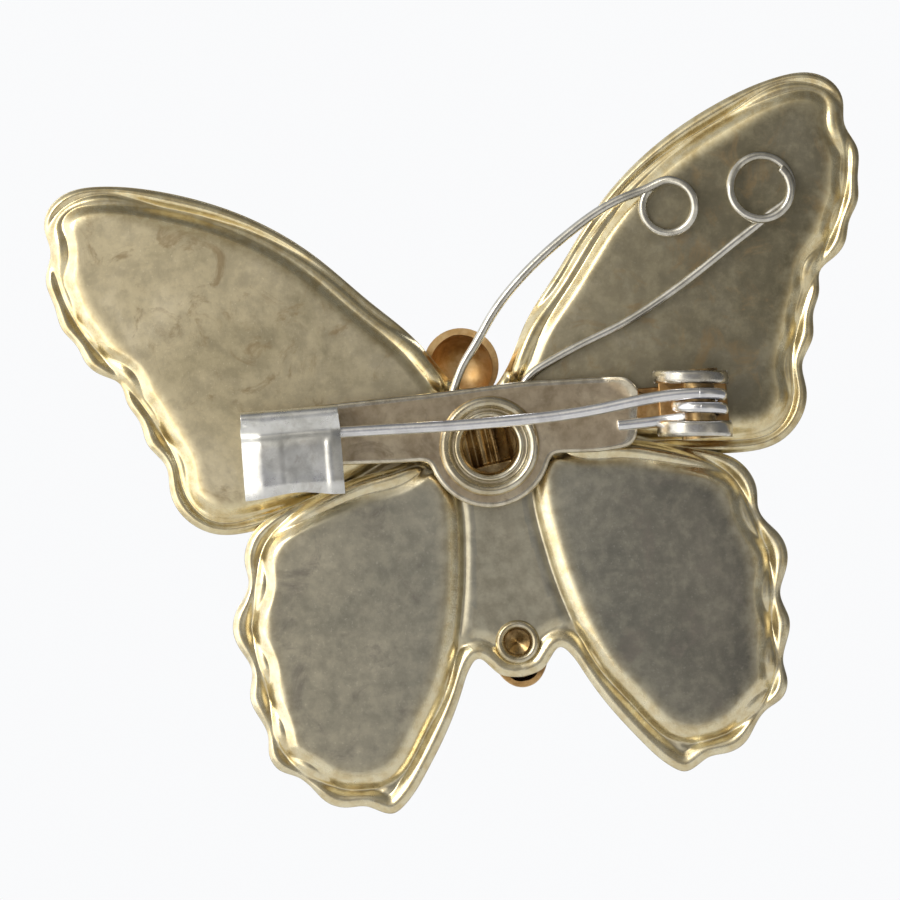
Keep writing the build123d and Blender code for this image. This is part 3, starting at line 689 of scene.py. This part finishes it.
def leaves(u, v):
    """Two dark folds, a leaf that leans to the light beside them, and a ledge below."""
    folds = np.where(u < 0.4, 0.3 * np.abs(np.cos(np.pi * (u + 0.5) / 0.9)), 0.9 * (u - 0.4))
    ledge = 0.9 * ease((-1.08 - v) / 0.1)
    sides = 0.6 * ease((np.abs(u) - 1.15) / 0.2)
    return -2.35 + folds * (1 - ease((-1.08 - v) / 0.1)) + ledge + sides


def pinched(u, v):
    """A cone that was nipped along a slanting line."""
    r = np.hypot(u, v)
    return -2.55 + 0.75 * r - 0.25 * np.abs(0.6 * u - 0.8 * v)


# The leaves and the cone take the brass darkened as painted shade for the bottom of the tubes.
dish("eyelet_leaves", 0, 0, 1.74, leaves, 5.0, painted_shade_brass)
dish("rivet_cone", 0, -tail_drop, 1.0, pinched, 0, painted_shade_brass)

# %% [markdown]
# ## The bar
#
# A strip of brass cut with a round boss in the middle and bevelled corners. Its
# rim is softened by tumbling, so the grid's rows are offsets of one outline.


# %% Offsets of an outline
def offset(line, distance):
    """Moves a closed line inwards along its normals, which are the turned tangents."""
    tangent = np.roll(line, -1, axis=0) - np.roll(line, 1, axis=0)
    tangent = tangent / np.linalg.norm(tangent, axis=1)[:, None]
    normal = np.stack([-tangent[:, 1], tangent[:, 0]], axis=1)
    area = (line[:, 0] * np.roll(line[:, 1], -1) - line[:, 1] * np.roll(line[:, 0], -1)).sum()
    return line + np.sign(area) * distance * normal


def polygon(corners, count):
    closed = np.vstack([corners, corners[:1]])
    return even(np.asarray(closed, float), count + 1)[:-1]


# %% Bar with its boss
boss_radius, bar_thick = 3.95, 0.6
boss_low = np.linspace(-0.205, -math.pi + 0.16, 40)
bar_outline = np.vstack([
    [(-15.4, 3.2), (-9.0, 3.53), (-2.86, 3.68), (2.59, 3.95), (8.02, 3.83), (9.16, 3.74),
     (9.85, 2.79), (9.62, 0.8), (9.40, -0.37), (8.92, -0.78), (6.99, -0.95), (4.45, -0.81)],
    np.stack([boss_radius * np.cos(boss_low), boss_radius * np.sin(boss_low)], axis=1),
    [(-5.76, -0.62), (-9.27, -0.47), (-15.4, -0.3)],
])
bar_line = polygon(bar_outline, 720)
tumble = np.arange(-5, 6)
for _ in range(2):
    bar_line = np.mean([np.roll(bar_line, k, axis=0) for k in tumble], axis=0)
inner = 2.05
spin = np.arctan2(bar_line[:, 1], bar_line[:, 0])
bore = inner * np.stack([np.cos(spin), np.sin(spin)], axis=1)
soft = 0.24
bend = np.linspace(0, np.pi / 2, 7)
bar_rows = [(offset(bar_line, soft * (1 - np.cos(b))), -soft * (1 - np.sin(b))) for b in bend]
shelf = offset(bar_line, soft)
bar_rows += [(shelf * (1 - t) + bore * t, 0.0) for t in np.linspace(0.03, 1, 26)]
bar_rows += [(bore, -bar_thick), (bar_line, -bar_thick)]
bar_flat = np.array([line for line, _ in bar_rows])
bar_level = np.array([level for _, level in bar_rows])[:, None] + 0 * bar_flat[..., 0]
to_corner = 0.62 * bar_flat[..., 0] + 0.78 * bar_flat[..., 1]
curled = np.clip((to_corner - 7.55) / 0.9, 0, 1)
curl_height, bar_underside = 0.42, -0.5
bar_level = bar_level + curl_height * curled * (bar_level > bar_underside)
bar_grid = place(bar_flat[..., 0], bar_flat[..., 1], bar_level, bar_turn)
bar_wear = np.full(bar_grid.shape[:2], 0.2)
bar_wear[:8] = 0.95
bar_wear = np.maximum(bar_wear, curled)
finish_mesh("pin_bar_strip", bar_grid.reshape(-1, 3), strips(*bar_grid.shape[:2], True, True),
            gilt_bar, "brooch", ["pin_bar"], wear=bar_wear)


# %% Small slabs with softened rims
def pebble(line, low, high, soft):
    """Rows of one outline: drawn in and rounded at both faces, each face closed at its middle."""
    b = np.linspace(0, np.pi / 2, 5)
    middle = np.tile(line.mean(0), (len(line), 1))
    up = [(offset(line, soft * (1 - np.cos(k))), high - soft * (1 - np.sin(k))) for k in b]
    down = [(offset(line, soft * (1 - np.cos(k))), low + soft * (1 - np.sin(k))) for k in b[::-1]]
    rows = [(middle, low), *down, *up, (middle, high)]
    return np.array([np.column_stack([row, np.full(len(row), h)]) for row, h in rows])


tongue_outline = [(9.3, 0.3), (15.35, 0.3), (15.35, 2.9), (9.3, 2.9)]
tongue = pebble(polygon(tongue_outline, 200), -bar_thick, -0.03, 0.15)
tongue_points = place(tongue[..., 0], tongue[..., 1], tongue[..., 2], bar_turn)
# The tongue takes a darker brass than the rest of the bar, as painted shade under the coil.
finish_mesh("pin_bar_tongue", tongue_points.reshape(-1, 3), strips(*tongue.shape[:2], False, True),
            painted_shade_floor, "brooch", ["pin_bar"])

# %% [markdown]
# ## The hinge's ears
#
# The bracket is bent up into two ears that hold the rivet. Each ear is an arch
# seen end on, so from behind it is a bar whose left side catches the light. The
# arch is a superellipse: |x|^n + |y|^n = 1 with n a little over two.

# %% Two arches and a floor
ear_u, ear_half, ear_top, ear_tilt = 13.12, 2.42, 3.92, -0.079
sweep = np.linspace(0, np.pi, 90)
arch = np.stack([
    ear_u + ear_half * np.sign(np.cos(sweep)) * np.abs(np.cos(sweep)) ** 0.8,
    0.03 + (ear_top - 0.03) * np.sin(sweep) ** 0.8,
], axis=1)
arch = polygon(arch, 240)
for side, low, high in (("upper", 2.92, 3.78), ("lower", -0.46, 0.58)):
    ear = pebble(arch, low, high, 0.3)
    v = ear[..., 2] + ear_tilt * (ear[..., 0] - ear_u)
    ear_points = place(ear[..., 0], v, ear[..., 1], bar_turn)
    finish_mesh("hinge_ear_" + side, ear_points.reshape(-1, 3), strips(*ear.shape[:2], False, True),
                ear_plate, "brooch", ["hinge_bracket"])
floor_outline = [(10.9, -0.1), (15.2, -0.3), (15.3, 3.3), (11.0, 3.5)]
bracket_floor = pebble(polygon(floor_outline, 200), 0.0, 0.42, 0.12)
floor_points = place(bracket_floor[..., 0], bracket_floor[..., 1], bracket_floor[..., 2], bar_turn)
# The floor takes a dark orange-brown while the ears are pale, as painted shade between the ears.
finish_mesh("hinge_floor", floor_points.reshape(-1, 3), strips(*bracket_floor.shape[:2], False, True),
            painted_shade_floor, "brooch", ["hinge_bracket"])

# %% [markdown]
# ## Wires
#
# A wire is a circle carried along a line. Every wire here lies nearly flat, so
# the circle is set up from one steady direction instead of a turning frame, and
# it can't twist. Both ends are closed by rows that shrink to a point, and a row
# just inside each end keeps the shading straight up to it.


# %% A circle along a line
def wire(name, line, radius, steady, material, body, nodes=(), sides=20, blunt=0.35):
    """The circle's two directions are steady crossed with the line, and the line crossed with that."""
    line = np.asarray(line, float)
    radius = np.broadcast_to(np.asarray(radius, float), len(line))
    along = np.gradient(line, axis=0)
    along = along / np.linalg.norm(along, axis=1)[:, None]
    first = np.cross(np.asarray(steady, float), along)
    first = first / np.linalg.norm(first, axis=1)[:, None]
    second = np.cross(along, first)
    angle = np.linspace(0, 2 * np.pi, sides + 1)[:-1]
    c, s = np.cos(angle)[None, :, None], np.sin(angle)[None, :, None]
    circle = c * first[:, None] + s * second[:, None]
    rows = line[:, None] + radius[:, None, None] * circle
    cap = np.linspace(0, np.pi / 2, 5)[:-1]

    def closing(k, way):
        tip = way * blunt * along[k]
        return [line[k] + radius[k] * (np.cos(b) * tip + np.sin(b) * circle[k]) for b in cap]

    inside = 0.03 * MM
    first_row, last_row = rows[:1] + inside * along[0], rows[-1:] - inside * along[-1]
    body_rows = [rows[:1], first_row, rows[1:-1], last_row, rows[-1:]]
    grid = np.concatenate([closing(0, -1), *body_rows, closing(-1, 1)[::-1]])
    faces = strips(len(grid), sides, round_columns=True)
    return finish_mesh(name, grid.reshape(-1, 3), faces, material, body, nodes)


def arc(u0, v0, radius, start, stop, count=24):
    """Points on a circle from one angle to another, in degrees; the radius may change evenly."""
    a = np.radians(np.linspace(start, stop, count))
    r = np.linspace(radius[0], radius[1], count) if isinstance(radius, tuple) else radius
    return np.stack([u0 + r * np.cos(a), v0 + r * np.sin(a)], axis=1)


# %% Antenna wire: one hairpin round the eyelet, with a curl at each tip
wire_level, antenna_radius = -0.94, 0.29
left_arm = [
    (12.48, 14.87), (11.15, 14.55), (9.12, 13.87), (7.03, 12.76), (4.90, 11.39), (2.72, 9.65),
    (1.20, 8.06), (0.01, 6.50), (-0.93, 5.35), (-1.53, 4.28), (-2.25, 2.4),
]
right_arm = [
    (3.0, 3.9), (4.4, 4.7), (6.62, 5.55), (9.33, 6.44), (12.08, 7.66), (14.88, 9.18),
    (17.69, 10.84), (18.9, 11.54), (20.05, 12.24),
]
left_curl = arc(13.47, 13.47, (1.62, 1.70), -305, 82, 30)
right_curl = np.vstack([arc(19.55, 13.75, (1.86, 2.12), -20, 80, 8),
                        arc(19.55, 13.75, (2.13, 1.74), 98, 398, 24)])
antenna_flat = np.vstack([left_curl, left_arm, arc(0, 0, 2.5, 165, 385, 12), right_arm, right_curl])
antenna_line = open_line(antenna_flat, 900)
far_along = np.linspace(0, 1, 900)
crossing = 0.62
over_left = crossing * np.exp(-(((far_along - 0.115) / 0.03) ** 2))
over_right = crossing * ease((far_along - 0.885) / 0.03)
antenna_level = wire_level + over_left + over_right
wire("antenna_hairpin", place(antenna_line[:, 0], antenna_line[:, 1], antenna_level),
     antenna_radius * MM, (0, 1, 0), wire_silver, "brooch", ["antenna_wire"])

# %% [markdown]
# ## The pin
#
# One piece of spring wire: a short tail lies on the bar, the wire makes one and
# a half turns round the hinge rivet, and the stem runs back to the catch. It is
# made as tail, coil and stem.

# %% The coil's line
pin_radius, coil_radius = 0.37, 1.45
coil_u, coil_level, coil_low, coil_pitch = 13.5, 2.37, 0.925, 0.9


def coil(first, last, count):
    """Degrees from the tail: u and level go round a circle while v climbs by the pitch."""
    a = np.radians(np.linspace(first, last, count))
    climb = coil_low + coil_pitch * np.degrees(a) / 360
    return np.stack([coil_u + coil_radius * np.sin(a), climb, coil_level - coil_radius * np.cos(a)], 1)


def in_bar(line):
    return place(line[:, 0], line[:, 1], line[:, 2], bar_turn)


up_bar = place(0, 1, 0, bar_turn) / MM
tail_pins = np.vstack([
    [(8.3, 0.66, 0.40), (9.3, 0.68, 0.40), (10.4, 0.72, 0.44), (11.6, 0.80, 0.58)],
    coil(-20, 180, 12),
])
wire("pin_tail", in_bar(open_line(tail_pins, 160)), pin_radius * MM, up_bar, spring_steel,
     "brooch", ["spring_leg"])
turn_of_wire = wire("pin_coil_turn", in_bar(coil(180, 540, 150)), pin_radius * MM, up_bar,
                    spring_steel, None, ["pin_coil"], blunt=0.1)
tuple(place(coil_u, coil_low + 0.45, coil_level, bar_turn))
tuple(place(coil_u, coil_low + 1.36, coil_level, bar_turn))
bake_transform(turn_of_wire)

# %% Stem, tapered to its point inside the catch
stem_pins = np.array([
    (13.5, 2.275), (12.6, 2.30), (10.44, 2.20), (7.21, 1.80), (4.00, 1.55), (0.80, 1.47),
    (-2.40, 1.47), (-5.59, 1.54), (-9.10, 1.62), (-12.0, 1.66), (-14.6, 1.70),
])
stem_flat = open_line(stem_pins, 360)
stem_level = np.interp(stem_flat[:, 0], [-14.7, -12.0, 12.2, 13.5], [1.60, 1.75, 3.74, 3.82])
stem_line = np.column_stack([stem_flat, stem_level])
taper = np.clip((stem_flat[:, 0] + 14.9) / 3.2, 0, 1)
stem_radius = pin_radius * MM * (0.15 + 0.85 * np.sqrt(taper))
stem = wire("pin_stem_wire", in_bar(stem_line), stem_radius, up_bar, spring_steel,
            None, ["pin_stem"])
tuple(place(13.3, 2.28, 3.8, bar_turn))
tuple(place(8.5, 1.95, 3.4, bar_turn))
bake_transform(stem)

# %% [markdown]
# ## The catch
#
# A strip of plated brass is folded up from the bar, over the stem and down
# again, and its mouth is left open below. Its free edges were spread a little,
# and a tool left a pressed rectangle in its face. The fold is a section line
# carried along the bar, then given its thickness.

# %% Folded strip
catch_section = open_line([
    (-0.3, 0.24), (1.5, 0.24), (2.75, 0.26), (3.1, 0.62), (3.15, 1.5), (3.13, 2.45),
    (3.0, 2.93), (2.75, 2.97), (2.35, 2.80), (1.95, 2.62), (1.7, 2.64), (1.35, 2.84), (1.0, 2.95),
    (0.4, 2.97), (-0.6, 2.97), (-1.35, 2.98), (-1.9, 3.0), (-2.02, 3.0),
], 190)


def falling(past, width, depth, power):
    """Depth times the power of past / width, from nothing at the start to all of it at the width."""
    return depth * np.clip(past / width, 0, 1) ** power


catch_u = np.linspace(-15.6, -9.42, 80)
section_v, section_level = catch_section[:, :1], catch_section[:, 1:]
on_face = ease((section_level - 2.2) / 0.3) * ease((2.75 - section_v) / 0.5 + 0.3)
u_grid = catch_u[None] + 0 * section_v
v_grid = section_v + 0 * u_grid
box_u = ease((u_grid + 13.35) / 0.35) * ease((-10.05 - u_grid) / 0.35)
box_v = ease((1.5 - v_grid) / 0.4) * ease((v_grid + 3.0) / 0.25)
fall_left = falling(-14.4 - u_grid, width=1.2, depth=0.46, power=1.45)
fall_right = falling(u_grid + 9.95, width=0.5, depth=0.22, power=1.3)
fall_mouth = falling(-1.35 - v_grid, width=0.7, depth=0.30, power=1.3)
ridge = 0.05 * np.exp(-(((u_grid + 10.15) / 0.2) ** 2)) * ease((1.4 - v_grid) / 0.5)
dents = 0.016 * np.sin(2.3 * u_grid + 1.1 * v_grid) + 0.012 * np.sin(3.1 * v_grid - 1.4 * u_grid)
falls = 0.03 * box_u * box_v + fall_left + fall_right + fall_mouth - ridge - dents
level_grid = section_level - on_face * falls
mouth_wave = 0.16 * np.cos(np.pi * (u_grid + 12.5) / 3.1) * ease((-1.2 - v_grid) / 0.8)
catch_grid = place(u_grid, v_grid + mouth_wave, level_grid, bar_turn)
steps_u = np.gradient(catch_grid, axis=1)
steps_s = np.gradient(catch_grid, axis=0)
push = np.cross(steps_s, steps_u)
half_sheet = 0.2 * MM
push = push / np.linalg.norm(push, axis=2, keepdims=True) * half_sheet
outer, within = catch_grid + push, catch_grid - push
closed_grid = np.concatenate([outer, within[::-1]])
n_rows, n_columns = closed_grid.shape[:2]
catch_faces = strips(n_rows, n_columns, round_rows=True)
ends = np.arange(len(catch_section) - 1)
mirror_row = n_rows - 1 - ends
side_faces = [np.stack([ends * n_columns + k, (ends + 1) * n_columns + k,
                        (mirror_row - 1) * n_columns + k, mirror_row * n_columns + k], 1)
              for k in (0, n_columns - 1)]
catch_all = np.vstack([catch_faces, side_faces[0][:, ::-1], side_faces[1]])
catch = finish_mesh("catch_fold", closed_grid.reshape(-1, 3), catch_all, silver, "brooch",
                    ["catch"])
soft_edge = catch.modifiers.new("soft_edge", "BEVEL")
soft_edge.width, soft_edge.segments, soft_edge.limit_method = 0.00009, 2, "ANGLE"
soft_edge.angle_limit = math.radians(50)

# %% [markdown]
# ## Nodes that keep their shape
#
# The hinge's rivet, the washer, the body, its strap and the enamel already have
# the right shape, so they only need their finishes.


# %% Enamel: coloured glass over brass
def enamel(name, deep, pale):
    made = bpy.data.materials.new(name)
    n = tree(made)
    at = node(n, "ShaderNodeTexCoord").outputs["Object"]
    cloud = node(n, "ShaderNodeTexNoise", Scale=300.0, Detail=6.0, Roughness=0.6)
    grains = node(n, "ShaderNodeTexVoronoi", Scale=2600.0)
    n.links.new(at, cloud.inputs["Vector"])
    n.links.new(at, grains.inputs["Vector"])
    shader = node(n, "ShaderNodeBsdfPrincipled")
    shader.inputs["Coat Weight"].default_value = 0.6
    shader.inputs["Coat Roughness"].default_value = 0.05
    n.links.new(ramp(n, cloud.outputs["Fac"], [(0.3, deep), (0.7, pale)]), shader.inputs["Base Color"])
    n.links.new(ramp(n, grains.outputs["Distance"], [(0.1, grey(0.16)), (0.7, grey(0.3))]),
                shader.inputs["Roughness"])
    bump = node(n, "ShaderNodeBump", Strength=0.1, Distance=0.00003)
    n.links.new(cloud.outputs["Fac"], bump.inputs["Height"])
    n.links.new(bump.outputs[0], shader.inputs["Normal"])
    n.links.new(shader.outputs[0], node(n, "ShaderNodeOutputMaterial").inputs["Surface"])
    return made


def refinish(material, *names):
    for name in names:
        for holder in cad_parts[name].material_slots:
            holder.link = "OBJECT"
            holder.material = material


sky_enamel = enamel("sky_enamel", (0.03, 0.12, 0.26), (0.10, 0.34, 0.50))
sea_enamel = enamel("sea_enamel", (0.02, 0.14, 0.18), (0.08, 0.36, 0.38))
refinish(sky_enamel, "forewing_enamel_hinge_side", "forewing_enamel_catch_side")
refinish(sea_enamel, "hindwing_enamel_hinge_side", "hindwing_enamel_catch_side")
refinish(head_gilt, "body_shell", "body_bridge")
refinish(gilt_eyelet, "spacing_washer")
# The hinge rivet between the coil's turns takes the brass darkened as painted shade.
refinish(painted_shade_brass, "hinge_rivet")
